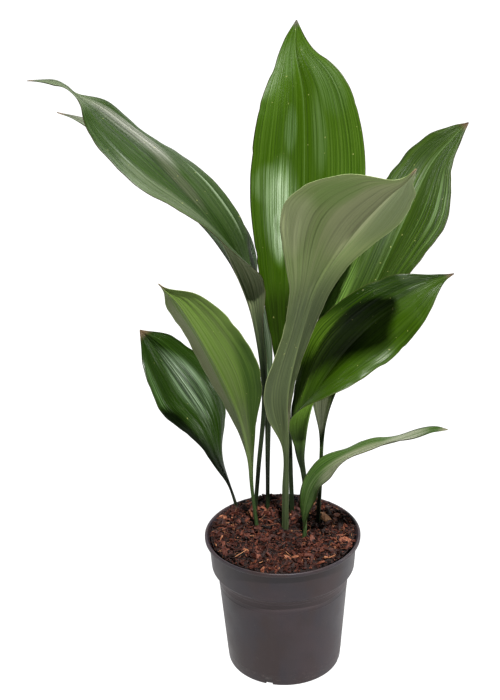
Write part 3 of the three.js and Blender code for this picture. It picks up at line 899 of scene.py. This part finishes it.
# The low left leaf: a short dark one near the rim, whose glossy face lies open to the light, creased
# along the middle.
low_left_body = leaf_blade(foot=(-51, 54, 50), stalk=2, wave=(1.4, 4, 0.3), stations=110, columns=88,
                           pleats=(10, 1.5, 6.5), rows=[
    [-59, 63, 184, 3, 3, -20, 60],
    [-69, 70, 210, 11, 9, -15, 60],
    [-82, 79, 253, 29, 33, -5, 45],
    [-106, 89, 292, 41, 39, 0, 30],
    [-134, 103, 329, 26, 27, 5, 30],
    [-155, 110, 354, 0.5, 0.5, 0, 25],
])
low_left_upper = leaf_finish(
    "low_left_leaf_upper", deep=(0.006, 0.018, 0.0005), fresh=(0.017, 0.041, 0.0015),
    bloom=(0.04, 0.065, 0.02), bloom_share=0.1, margin=(0.03, 0.035, 0.015), roughness=0.28, seed=11,
    rib=(0.01, 0.02, 0.004), swell=0.012, stalk_ends=(0.045, 0.1),
    # Tints: a pale band of painted sheen right of the midrib, dark lines of painted shade in its creases and
    # a painted highlight on the left margin.
    tints_and_painted_light=[(0.18, 0.14, 0.055, 0.5, (0.13, 0.18, 0.11), 0.9),
           (0.19, 0.05, 0.05, 0.16, (0.22, 0.27, 0.2), 0.5),
           (0.19, -0.07, 0.06, 0.06, (0.003, 0.008, 0.001), 1.2),
           (0.17, 0.17, 0.04, 0.04, (0.003, 0.008, 0.001), 1.4),
           (0.18, 0.32, 0.035, 0.035, (0.003, 0.008, 0.001), 1.3),
           (0.2, -0.85, 0.035, 0.15, (0.12, 0.2, 0.08), 0.5)],
    dips=[(0.178, 0.24, 0.05, 0.32, (-0.24, -0.02, 0.12)),
          (0.21, -0.6, 0.06, 0.45, (0, -0.1, -0.35))])
low_left_under = leaf_finish(
    "low_left_leaf_under", deep=(0.06, 0.1, 0.035), fresh=(0.1, 0.14, 0.06), bloom=(0.18, 0.18, 0.12),
    bloom_share=0.3, margin=(0.24, 0.26, 0.16), roughness=0.55, seed=12)
leaf_piece("leaf_low_left", low_left_body, low_left_upper, low_left_under)


# The right leaf: it leans out behind the front one with its face to the light, in long dark and light
# streaks, and its margin ripples near the brownish point.
right_body = leaf_blade(foot=(39, 19, 310), stalk=2.5, wave=(1.0, 4, 0.6), pleats=(11, 0.7, 7.5), rows=[
    [42, 27, 207, 2.5, 2.5, 10, 315],
    [45, 36, 257, 3.5, 3.5, 30, 320],
    [55, 46, 304, 23, 12, 40, 325],
    [78, 61, 364, 40, 28, 30, 325],
    [107, 80, 424, 40, 39, 20, 325],
    [138, 106, 483, 42, 50, 10, 330],
    [164, 130, 530, 33, 30, 5, 330],
    [190, 139, 559, 14, 11, 15, 335],
    [205, 143, 573, 0.5, 0.5, 5, 325],
])
right_upper = leaf_finish(
    "right_leaf_upper", deep=(0.01, 0.026, 0.001), fresh=(0.042, 0.076, 0.007), bloom=(0.07, 0.11, 0.03),
    bloom_share=0.16, margin=brown_margin, tip=(0.12, 0.07, 0.05), roughness=0.38, seed=13, contrast=1.5,
    rib=light_rib, stalk_ends=(0.08, 0.13),
    # Tints: pale stripes of painted sheen high on the blade, a pale grey patch of painted light on the
    # shadowed foot, and green painted light in the front leaf's shadow low on the left.
    tints_and_painted_light=[(0.41, 0.68, 0.05, 0.05, (0.12, 0.18, 0.08), 0.5),
           (0.39, 0.85, 0.05, 0.04, (0.1, 0.16, 0.05), 0.5),
           (0.4, 0.4, 0.06, 0.04, (0.1, 0.16, 0.05), 0.4),
           (0.45, 0.3, 0.06, 0.5, (0.045, 0.075, 0.02), 0.5),
           (0.155, -0.3, 0.03, 1.6, (0.55, 0.56, 0.42), 1.5),
           (0.27, -0.85, 0.07, 0.4, (0.1, 0.17, 0.035), 1.1)])
right_under = leaf_finish(
    "right_leaf_under", deep=(0.09, 0.1, 0.06), fresh=(0.24, 0.24, 0.17), bloom=(0.34, 0.34, 0.26),
    bloom_share=0.3, margin=(0.4, 0.4, 0.28), roughness=0.6, seed=14, contrast=1.6)
leaf_piece("leaf_right", right_body, right_upper, right_under)


# The shaded right leaf: it lies under the front leaf, out to the right, so that a sharp shadow falls
# across its middle. Its near half is folded up at the foot.
shaded_body = leaf_blade(foot=(27, 24, 300), stalk=2.5, wave=(1.2, 3, 0.8), pleats=(9, 0.7, 8.5), rows=[
    [24, 26, 210, 2.5, 2.5, 55, 270],
    [23, 26, 245, 9, 8, 80, 265],
    [34, 28, 302, 28, 34, 35, 280],
    [64, 27, 353, 43, 38, 15, 325],
    [100, 26, 393, 39, 40, 0, 345],
    [136, 29, 418, 30, 30, 0, 340],
    [165, 34, 435, 9, 8, 0, 330],
    [181, 37, 441, 0.5, 0.5, -5, 325],
])
right_shaded_upper = leaf_finish(
    "shaded_leaf_upper", deep=(0.015, 0.036, 0.0003), fresh=(0.036, 0.074, 0.001),
    bloom=(0.1, 0.15, 0.05), bloom_share=0.08, margin=(0.05, 0.055, 0.02), tip=(0.12, 0.07, 0.05),
    roughness=0.32, seed=15, rib=(0.05, 0.085, 0.015),
    # Tints: painted shadow over the upper half and the middle, darkening the front leaf's shadow, and green
    # painted light lifting the shadow near the foot.
    tints_and_painted_light=[(0.315, -0.75, 0.09, 0.8, (0.007, 0.019, 0.0003), 1.5),
           (0.21, -0.7, 0.07, 0.45, (0.075, 0.135, 0.012), 1.3),
           (0.235, 0.05, 0.05, 0.3, (0.01, 0.019, 0.0005), 1.2)],
    dips=[(0.283, 0.82, 0.03, 0.2, (0.05, 0.11, 0.2)),
          (0.3, -0.75, 0.09, 0.6, (-0.1, -0.25, -0.22))])
right_shaded_under = leaf_finish(
    "shaded_leaf_under", deep=(0.13, 0.27, 0.012), fresh=(0.23, 0.42, 0.025), bloom=(0.16, 0.24, 0.07),
    bloom_share=0.15, margin=(0.45, 0.5, 0.32), roughness=0.6, seed=16)
leaf_piece("leaf_right_shaded", shaded_body, right_shaded_upper, right_shaded_under)


# The low right leaf: a small narrow one that arches low over the rim to the right, with a greyish
# painted sheen on its far part and rippled margins.
low_right_body = leaf_blade(foot=(22, -8, 250), stalk=3, wave=(2.6, 6, 0.5), stations=110, columns=72,
                            pleats=(5, 1.2, 9.5), rows=[
    [25, -11, 196, 7, 8, 10, 325],
    [35, -16, 228, 13, 13, 15, 310],
    [56, -25, 254, 17, 17, 10, 280],
    [89, -37, 278, 14, 14, 15, 255],
    [122, -52, 296, 8, 9, 15, 255],
    [148, -69, 314, 6, 5.5, 5, 280],
    [164, -81, 321, 0.5, 0.5, -5, 275],
])
low_right_upper = leaf_finish(
    "low_right_leaf_upper", deep=(0.03, 0.064, 0.01), fresh=(0.065, 0.115, 0.026),
    bloom=(0.16, 0.19, 0.11), bloom_share=0.25, stalk=green_stalk, margin=brown_margin,
    tip=(0.25, 0.24, 0.16), roughness=0.4, seed=17, bands=6, stalk_ends=(0.03, 0.06), rib=light_rib,
    grained=0.5,
    # Tints: grey-white painted sheen over the far part; the last tint darkens the tip.
    tints_and_painted_light=[(0.17, 0.5, 0.08, 1.1, (0.22, 0.225, 0.155), 1.0),
           (0.225, 0.2, 0.035, 1.5, (0.27, 0.28, 0.21), 0.9),
           (0.275, 0, 0.025, 3, (0.035, 0.07, 0.012), 1.0)])
low_right_under = leaf_finish(
    "low_right_leaf_under", deep=(0.08, 0.125, 0.04), fresh=(0.13, 0.17, 0.07), bloom=(0.2, 0.2, 0.12),
    bloom_share=0.25, stalk=green_stalk, margin=(0.25, 0.28, 0.17), tip=(0.25, 0.24, 0.16), roughness=0.6,
    seed=18, stalk_ends=(0.03, 0.06))
leaf_piece("leaf_low_right", low_right_body, low_right_upper, low_right_under)


# Studio: a white sweep under the plant, a small bright softbox high in front, which throws the shadows, a
# weak fill beside the camera, softboxes behind and to the right, and a pale room behind it all. The
# camera stands where the photograph was taken from.
sweep_size = 14
sweep = bmesh.new()
bmesh.ops.create_grid(sweep, x_segments=1, y_segments=1, size=sweep_size)
white = Finish("white_sweep")
white.skin.inputs["Base Color"].default_value = (0.02, 0.02, 0.02, 1)
white.skin.inputs["Specular IOR Level"].default_value = 0
white.skin.inputs["Roughness"].default_value = 0.9
white.skin.inputs["Emission Color"].default_value = (1, 1, 1, 1)
depth = white.add("ShaderNodeSeparateXYZ", None, Vector=white.place()).outputs["Y"]
white.set(white.skin, "Emission Strength", white.span(depth, -1.8, -0.6, 0.6, 1.0))
floor = piece_of(sweep, "studio_floor", [white.material])


def softbox(name, place, aim, size, power):
    """A square light at a place, facing its aim: size in m, power in W."""
    light = bpy.data.lights.new(name, "AREA")
    light.shape = "SQUARE"
    light.size = size
    light.energy = power
    box = bpy.data.objects.new(name, light)
    box.location = place
    box.visible_camera = False
    box.rotation_euler = (Vector(aim) - Vector(place)).to_track_quat("-Z", "Y").to_euler()
    bpy.context.scene.collection.objects.link(box)


softbox("key_softbox", (0.191, -1.078, 2.288), (0.03, 0.0, 0.4), 0.1, 106)
softbox("front_fill", (0.324, -1.38, 1.2), (0.0, 0.05, 0.45), 0.15, 1.6)
softbox("back_softbox", (0.1, 1.2, 1.35), (0.0, 0.05, 0.2), 0.8, 4)
softbox("side_fill", (1.6, 0.1, 0.8), (0.0, 0.02, 0.2), 0.5, 14)
room = bpy.data.worlds.new("bright_room")
room.use_nodes = True
room_nodes, room_links = room.node_tree.nodes, room.node_tree.links


def room_step(source, low, high, to_low, to_high):
    """A smooth step of a direction from low..high to to_low..to_high."""
    step = room_nodes.new("ShaderNodeMapRange")
    step.interpolation_type = "SMOOTHSTEP"
    room_links.new(source, step.inputs["Value"])
    for socket, value in (("From Min", low), ("From Max", high), ("To Min", to_low), ("To Max", to_high)):
        step.inputs[socket].default_value = value
    return step.outputs["Result"]


def room_math(operation, first, second):
    """Joins two of the room's values."""
    node = room_nodes.new("ShaderNodeMath")
    node.operation = operation
    room_links.new(first, node.inputs[0])
    room_links.new(second, node.inputs[1])
    return node.outputs[0]


direction = room_nodes.new("ShaderNodeSeparateXYZ")
room_links.new(room_nodes.new("ShaderNodeTexCoord").outputs["Generated"], direction.inputs[0])
behind = room_step(direction.outputs["Y"], 0.0, 0.5, 0.03, 0.9)
backdrop = room_math("MULTIPLY", behind, room_step(direction.outputs["Z"], 0.35, 0.75, 1.0, 0.05))
seen = room_nodes.new("ShaderNodeLightPath").outputs["Is Camera Ray"]
background = room_nodes["Background"]
background.inputs["Color"].default_value = (1, 1, 1, 1)
room_links.new(room_math("MAXIMUM", backdrop, seen), background.inputs["Strength"])
bpy.context.scene.world = room
bpy.context.scene.view_settings.view_transform = "Standard"
bpy.context.scene.view_settings.look = "Medium High Contrast"

camera_place = (0, -1.245, 0.907)
camera_down = 23.15
camera_left = 1.40
camera_roll = -1.47
camera_lens = 67.73
camera_sensor = 36
lens = bpy.data.cameras.new("camera")
lens.lens = camera_lens
lens.sensor_width = camera_sensor
camera = bpy.data.objects.new("camera", lens)
heading = Matrix.Rotation(math.radians(camera_left), 3, "Z")
heading = heading @ Matrix.Rotation(math.radians(90 - camera_down), 3, "X")
heading = heading @ Matrix.Rotation(math.radians(camera_roll), 3, "Z")
camera.matrix_world = Matrix.Translation(camera_place) @ heading.to_4x4()
bpy.context.scene.collection.objects.link(camera)
bpy.context.scene.camera = camera

bpy.context.view_layer.update()
